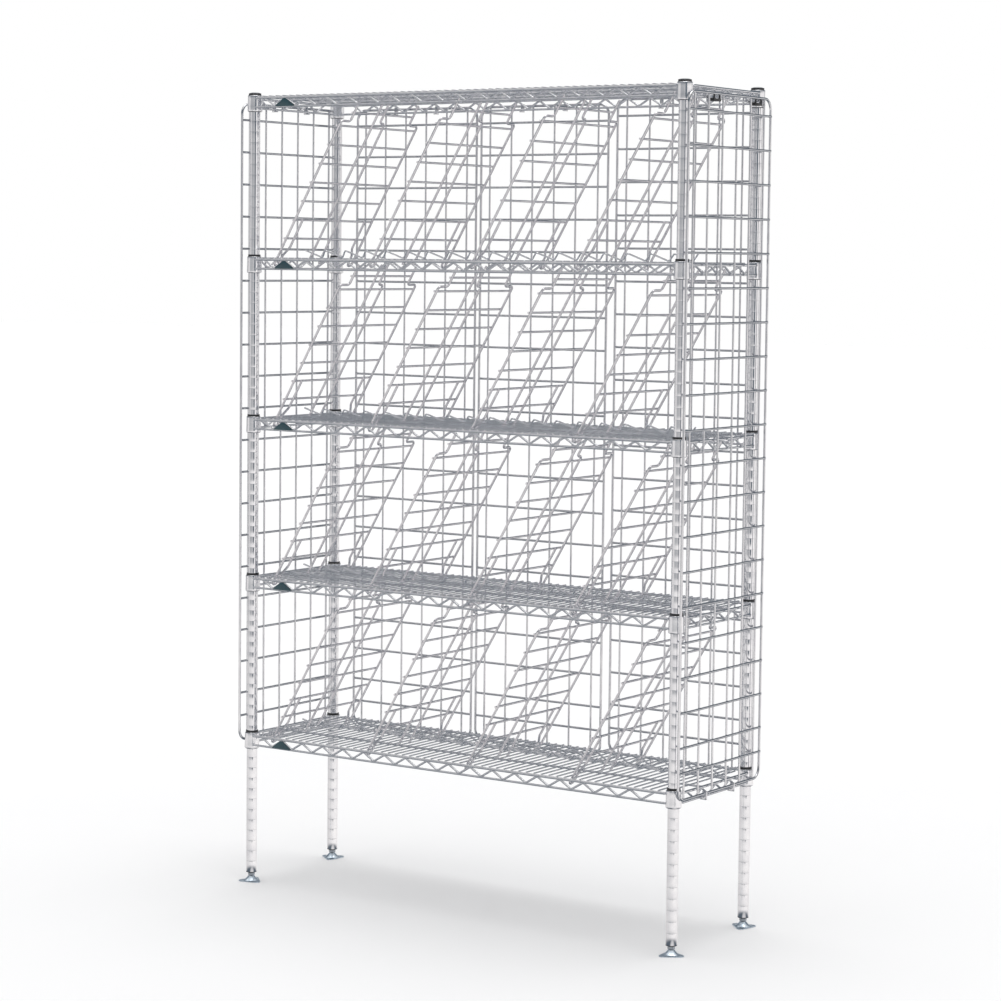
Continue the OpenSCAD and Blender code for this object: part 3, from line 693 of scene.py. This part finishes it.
low, high = box_mm("shelf_tags")
tag_x, tag_front = (low[0] + high[0]) / 2, low[1]
TAG_T, BOSS_BACK = 2.4, -EDGE_Y + 2.0
face = rounded([(-27, -33), (27, -33), (27, -31.2), (3.5, -14.5), (-3.5, -14.5), (-27, -31.2)], 1.2)
boss = rounded([(-17, -30.4), (17, -30.4), (2, -19), (-2, -19)], 1.0)
boss_front = tag_front + 0.6 * TAG_T
tags = Shape()
for i in SHELVES:
    tags.plate(face, TAG_T, 0.5, lambda u, v, w: (tag_x + u, tag_front + TAG_T / 2 + w, LEVELS[i] + v))
    tags.plate(boss, BOSS_BACK - boss_front, 0.5,
               lambda u, v, w: (tag_x + u, (BOSS_BACK + boss_front) / 2 + w, LEVELS[i] + v))
piece("shelf_tags_moulded", tags, TAG, "rack", ["shelf_tags"])


# ---------------------------------------------------------------- studio and camera


# dark screens round the horizon: (azimuth, half width, soft edge) in degrees, and how much each blocks
SCREENS = ((-40, 9, 8, 1.14), (-90, 27, 12, 0.52), (184, 5, 10, 0.45), (64, 5, 10, 0.40))
SCREEN_FOOT = (-0.15, -0.09)  # sines of the elevations where the screens end below
SIDE_LEVEL, SIDE_SWING = 0.90, 0.16
BAND_TOP, BAND_FOOT = (0.07, 0.24), (-0.46, -0.26)  # sines of the elevations where the band fades
OVERHEAD, OVERHEAD_EDGE = 0.9, (0.55, 0.80)
FLOOR_GLOW, GLOW_LEVEL = (0.47, -0.33, -0.82), 0.75  # direction and strength of the lit floor's reflection
GLOW_EDGE = (0.70, 0.94)  # cosines of the angle from that direction where the glow starts and is full
SIDE_AZIMUTH = 4  # degrees, where the soft boxes are brightest
DUSK, SOFT_BOX = (0.125, 0.152, 0.182), (1.10, 1.06, 1.04)
ROOM_LIGHT = 0.77
SUN_STRENGTH, SUN_SIZE, SUN_TILT = 0.30 * math.pi, 38, -4  # size and tilt in degrees
FLOOR_HALF = 40.0  # metres
# metres, then degrees of turn, fall and roll
CAMERA_AT, CAMERA_TURN = (3.5538, -5.1745, 1.5046), (34.349, -4.073, 0.646)
LENS, LENS_SHIFT, FAR_CLIP = 97.59, -0.047, 200


def world():
    """White studio. Gloss sees soft boxes with dark gaps round the horizon, in a dusky room."""
    w = bpy.data.worlds.new("studio")
    bpy.context.scene.world = w
    w.use_nodes = True
    tree = w.node_tree
    tree.nodes.clear()
    new, link = tree.nodes.new, tree.links.new

    def math_node(op, *inputs):
        node = new("ShaderNodeMath")
        node.operation = op
        for k, value in enumerate(inputs):
            if isinstance(value, (int, float)):
                node.inputs[k].default_value = value
            else:
                link(value, node.inputs[k])
        return node.outputs[0]

    def smooth(value, low, high, at_low=0.0, at_high=1.0):
        node = new("ShaderNodeMapRange")
        node.interpolation_type = "SMOOTHSTEP"
        for name, number in (("From Min", low), ("From Max", high), ("To Min", at_low), ("To Max", at_high)):
            node.inputs[name].default_value = number
        link(value, node.inputs["Value"])
        return node.outputs["Result"]

    coords = new("ShaderNodeTexCoord")
    split = new("ShaderNodeSeparateXYZ")
    link(coords.outputs["Generated"], split.inputs[0])
    azimuth = math_node("ARCTAN2", split.outputs[1], split.outputs[0])
    height = split.outputs[2]
    screened = smooth(height, *SCREEN_FOOT)
    from_side = math_node("SUBTRACT", azimuth, math.radians(SIDE_AZIMUTH))
    level = math_node("MULTIPLY_ADD", math_node("COSINE", from_side), SIDE_SWING, SIDE_LEVEL)
    for at, half, soft, depth in SCREENS:
        turn = math_node("FRACT", math_node("MULTIPLY_ADD", azimuth, 1 / (2 * math.pi), 1.5 - at / 360))
        away = math_node("ABSOLUTE", math_node("SUBTRACT", turn, 0.5))
        block = math_node("MULTIPLY", smooth(away, half / 360, (half + soft) / 360, depth, 0.0), screened)
        level = math_node("MULTIPLY", level, math_node("SUBTRACT", 1.0, block))
    band = math_node("MULTIPLY", smooth(height, *BAND_TOP, 1.0, 0.0), smooth(height, *BAND_FOOT))
    bright = math_node("MULTIPLY", band, level)
    overhead = math_node("MULTIPLY", smooth(height, *OVERHEAD_EDGE), OVERHEAD)
    toward = new("ShaderNodeVectorMath")
    toward.operation = "DOT_PRODUCT"
    link(coords.outputs["Generated"], toward.inputs[0])
    toward.inputs[1].default_value = FLOOR_GLOW
    glow = math_node("MULTIPLY", smooth(toward.outputs["Value"], *GLOW_EDGE), GLOW_LEVEL)
    bright = math_node("MAXIMUM", math_node("ADD", bright, overhead), glow)
    ramp = new("ShaderNodeMix")
    ramp.data_type = "RGBA"
    ramp.clamp_factor = False
    ramp.inputs["A"].default_value = (*DUSK, 1)
    ramp.inputs["B"].default_value = (*SOFT_BOX, 1)
    link(bright, ramp.inputs["Factor"])

    path = new("ShaderNodeLightPath")
    gloss, plain, seen = (new("ShaderNodeBackground") for _ in range(3))
    link(ramp.outputs["Result"], gloss.inputs["Color"])
    for node, strength in ((gloss, 1.0), (plain, ROOM_LIGHT), (seen, 1.0)):
        node.inputs["Strength"].default_value = strength
    for node in (plain, seen):
        node.inputs["Color"].default_value = (1, 1, 1, 1)
    first, second = (new("ShaderNodeMixShader") for _ in range(2))
    out = new("ShaderNodeOutputWorld")
    link(path.outputs["Is Glossy Ray"], first.inputs[0])
    link(plain.outputs[0], first.inputs[1])
    link(gloss.outputs[0], first.inputs[2])
    link(path.outputs["Is Camera Ray"], second.inputs[0])
    link(first.outputs[0], second.inputs[1])
    link(seen.outputs[0], second.inputs[2])
    link(second.outputs[0], out.inputs[0])


def floor():
    mesh = bpy.data.meshes.new("floor")
    signs = ((-1, -1), (1, -1), (1, 1), (-1, 1))
    mesh.from_pydata([(x * FLOOR_HALF, y * FLOOR_HALF, 0) for x, y in signs], [], [(0, 1, 2, 3)])
    mat, tree, shader = nodes_of("floor_mat")
    tint = ranged(tree, noise(tree, 1.5, 3.0), 0, 1)
    tree.links.new(mixed(tree, tint, (0.955, 0.955, 0.96), (0.945, 0.945, 0.95)), shader.inputs["Base Color"])
    shader.inputs["Roughness"].default_value = 0.85
    shader.inputs["Specular IOR Level"].default_value = 0.0
    mesh.materials.append(mat)
    obj = bpy.data.objects.new("floor", mesh)
    obj.visible_glossy = False  # gloss sees the studio's own lower half instead
    bpy.context.scene.collection.objects.link(obj)


def overhead_sun():
    data = bpy.data.lights.new("overhead", "SUN")
    data.energy = SUN_STRENGTH
    data.angle = math.radians(SUN_SIZE)
    obj = bpy.data.objects.new("overhead", data)
    obj.rotation_euler = (math.radians(SUN_TILT), 0, 0)
    bpy.context.scene.collection.objects.link(obj)


def camera():
    """The main view, from the right of the rack's front, with a little roll and fall of the lens."""
    yaw, pitch, roll = (math.radians(angle) for angle in CAMERA_TURN)
    ahead = Vector((-math.sin(yaw) * math.cos(pitch), math.cos(yaw) * math.cos(pitch), math.sin(pitch)))
    right = Vector((math.cos(yaw), math.sin(yaw), 0))
    up = right.cross(ahead)
    right2 = right * math.cos(roll) + up * math.sin(roll)
    up2 = up * math.cos(roll) - right * math.sin(roll)
    data = bpy.data.cameras.new("camera")
    data.sensor_width = 36.0
    data.lens = LENS
    data.shift_y = LENS_SHIFT
    data.clip_end = FAR_CLIP
    obj = bpy.data.objects.new("camera", data)
    rows = [(right2[k], up2[k], -ahead[k], CAMERA_AT[k]) for k in range(3)]
    obj.matrix_world = Matrix((*rows, (0, 0, 0, 1)))
    bpy.context.scene.collection.objects.link(obj)
    bpy.context.scene.camera = obj


world()
floor()
overhead_sun()
camera()
bpy.context.scene.view_settings.view_transform = "Standard"
